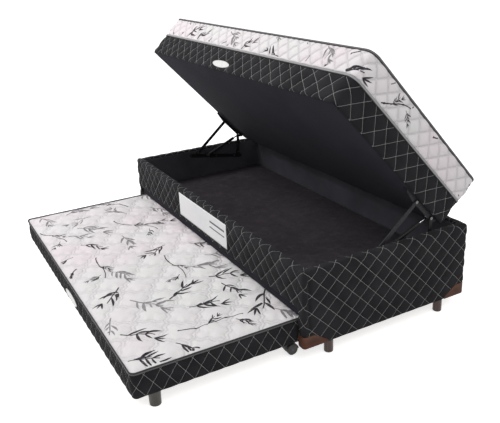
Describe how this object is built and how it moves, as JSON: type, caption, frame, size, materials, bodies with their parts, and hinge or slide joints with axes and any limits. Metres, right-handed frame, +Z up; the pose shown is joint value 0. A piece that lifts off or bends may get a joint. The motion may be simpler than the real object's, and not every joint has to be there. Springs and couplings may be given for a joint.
{
  "type": "box bed with trundle",
  "caption": "Single box bed: storage base with a sprung lid that carries the mattress on link arms, and a low upholstered trundle bed on feet and twin-wheel castors that rolls under it",
  "frame": {"origin": "on the floor, under the middle of the box around the whole object as pictured, with the lid open and the trundle out", "axes": "+X along the bed to the foot end, +Y from the trundle side to the rear, +Z up"},
  "size_m": [1.884, 1.6552, 1.2254],
  "materials": {
    "frame_wood": "sawn softwood and board, unfinished",
    "dark_quilt": "black quilted knit with pale grey stitching in diamonds",
    "dark_lining": "plain dark lining cloth",
    "well_cloth": "soft suede-like cloth, purple-grey, wrinkled",
    "guard_leather": "reddish brown leather corner guard",
    "dark_foot": "dark stained turned wood",
    "patch_cloth": "plain white cloth patch",
    "steel_black": "black painted steel",
    "steel_grey": "light grey painted steel",
    "steel_bare": "zinc plated steel",
    "rod_chrome": "bright ground rod",
    "underside_cloth": "smooth blue-black non-woven cloth",
    "felt_grey": "grey felt layer",
    "mattress_cloth": "off-white quilted ticking with a printed leaf pattern",
    "tape_grey": "woven edge tape, dark with a pale centre",
    "badge_plate": "bare dark oval plate",
    "trundle_foot": "olive grey moulded foot",
    "castor_plastic": "black moulded plastic",
    "wheel_plastic": "black moulded wheel"
  },
  "bodies": {
    "base": {"end_board_head": "frame_wood", "end_board_foot": "frame_wood", "rear_board": "frame_wood", "front_rail": "frame_wood", "well_floor": "frame_wood", "floor_ledgers": "frame_wood", "end_cover_head": "dark_quilt", "end_cover_foot": "dark_quilt", "rear_cover": "dark_quilt", "front_cover": "dark_quilt", "well_lining": "dark_lining", "well_floor_cloth": "well_cloth", "corner_guards": "guard_leather", "base_feet": "dark_foot", "front_patch": "patch_cloth", "lift_base_plate_head": "steel_black", "lift_base_plate_foot": "steel_black", "lift_base_screws": "steel_bare", "strut_pins": "steel_bare"},
    "rear_links": {"rear_link_head": "steel_black", "rear_link_foot": "steel_black", "rear_link_pins": "steel_bare"},
    "lid": {"lid_front_rail": "frame_wood", "lid_rear_rail": "frame_wood", "lid_end_rails": "frame_wood", "lid_slats": "frame_wood", "lid_underside_cloth": "underside_cloth", "lid_side_cover": "dark_quilt", "lid_felt": "felt_grey", "lid_mattress": "mattress_cloth", "lid_tapes": "tape_grey", "lid_badge": "badge_plate", "lid_bracket_head": "steel_grey", "lid_bracket_foot": "steel_grey", "lid_bracket_screws": "steel_bare"},
    "front_links": {"front_link_head": "steel_grey", "front_link_foot": "steel_grey", "front_link_pins": "steel_bare"},
    "strut_cylinders": {"strut_cylinder_head": "steel_black", "strut_cylinder_foot": "steel_black"},
    "strut_rods": {"strut_rod_head": "rod_chrome", "strut_rod_foot": "rod_chrome"},
    "trundle": {"trundle_long_rails": "frame_wood", "trundle_end_rails": "frame_wood", "trundle_slats": "frame_wood", "trundle_leg_blocks": "frame_wood", "trundle_side_cover": "dark_quilt", "trundle_pad": "mattress_cloth", "trundle_tape": "tape_grey", "trundle_badge": "badge_plate", "trundle_feet": "trundle_foot", "castor_plates": "steel_bare"},
    "castor_head": {"castor_hood_head": "castor_plastic", "castor_axle_head": "steel_bare"},
    "castor_foot": {"castor_hood_foot": "castor_plastic", "castor_axle_foot": "steel_bare"},
    "wheel_outer_head": {"castor_wheel_outer_head": "wheel_plastic"},
    "wheel_inner_head": {"castor_wheel_inner_head": "wheel_plastic"},
    "wheel_outer_foot": {"castor_wheel_outer_foot": "wheel_plastic"},
    "wheel_inner_foot": {"castor_wheel_inner_foot": "wheel_plastic"}
  },
  "joints": [
    {"name": "rear_link_swing", "type": "hinge", "parent": "base", "child": "rear_links", "pos_m": [0, 0.57757, 0.33741], "axis": [1, 0, 0], "range_deg": [-59.45, 0]},
    {"name": "lid_hinge", "type": "hinge", "parent": "rear_links", "child": "lid", "pos_m": [0, 0.58211, 0.46232], "axis": [1, 0, 0], "range_deg": [0, 106.44], "stiffness_Nm_per_rad": 20, "springref_deg": -100.27},
    {"name": "front_link_swing", "type": "hinge", "parent": "base", "child": "front_links", "pos_m": [0, 0.28784, 0.3824], "axis": [1, 0, 0], "range_deg": [-37.31, 0]},
    {"name": "strut_swing", "type": "hinge", "parent": "base", "child": "strut_cylinders", "pos_m": [0, 0.34745, 0.362], "axis": [1, 0, 0], "range_deg": [-17.28, 0]},
    {"name": "strut_slide", "type": "slide", "parent": "strut_cylinders", "child": "strut_rods", "axis": [0, 0.9195, 0.3931], "range_m": [0, 0.0867]},
    {"name": "trundle_slide", "type": "slide", "parent": "base", "child": "trundle", "axis": [0, 1, 0], "range_m": [-0.07, 0.715]},
    {"name": "castor_swivel_head", "type": "hinge", "parent": "trundle", "child": "castor_head", "pos_m": [-0.847, -0.13855, 0.065], "axis": [0, 0, 1], "continuous": true},
    {"name": "wheel_roll_outer_head", "type": "hinge", "parent": "castor_head", "child": "wheel_outer_head", "pos_m": [-0.847, -0.12155, 0.024], "axis": [1, 0, 0], "continuous": true},
    {"name": "wheel_roll_inner_head", "type": "hinge", "parent": "castor_head", "child": "wheel_inner_head", "pos_m": [-0.847, -0.12155, 0.024], "axis": [1, 0, 0], "continuous": true},
    {"name": "castor_swivel_foot", "type": "hinge", "parent": "trundle", "child": "castor_foot", "pos_m": [0.847, -0.13855, 0.065], "axis": [0, 0, 1], "continuous": true},
    {"name": "wheel_roll_outer_foot", "type": "hinge", "parent": "castor_foot", "child": "wheel_outer_foot", "pos_m": [0.847, -0.12155, 0.024], "axis": [1, 0, 0], "continuous": true},
    {"name": "wheel_roll_inner_foot", "type": "hinge", "parent": "castor_foot", "child": "wheel_inner_foot", "pos_m": [0.847, -0.12155, 0.024], "axis": [1, 0, 0], "continuous": true}
  ],
  "couplings": [
    {"joint": "rear_link_swing", "follows": "lid_hinge", "ratio": -0.55845},
    {"joint": "front_link_swing", "follows": "lid_hinge", "ratio": -0.35044},
    {"joint": "strut_swing", "follows": "lid_hinge", "ratio": -0.16225},
    {"joint": "strut_slide", "follows": "lid_hinge", "m_per_rad": 0.046607}
  ]
}
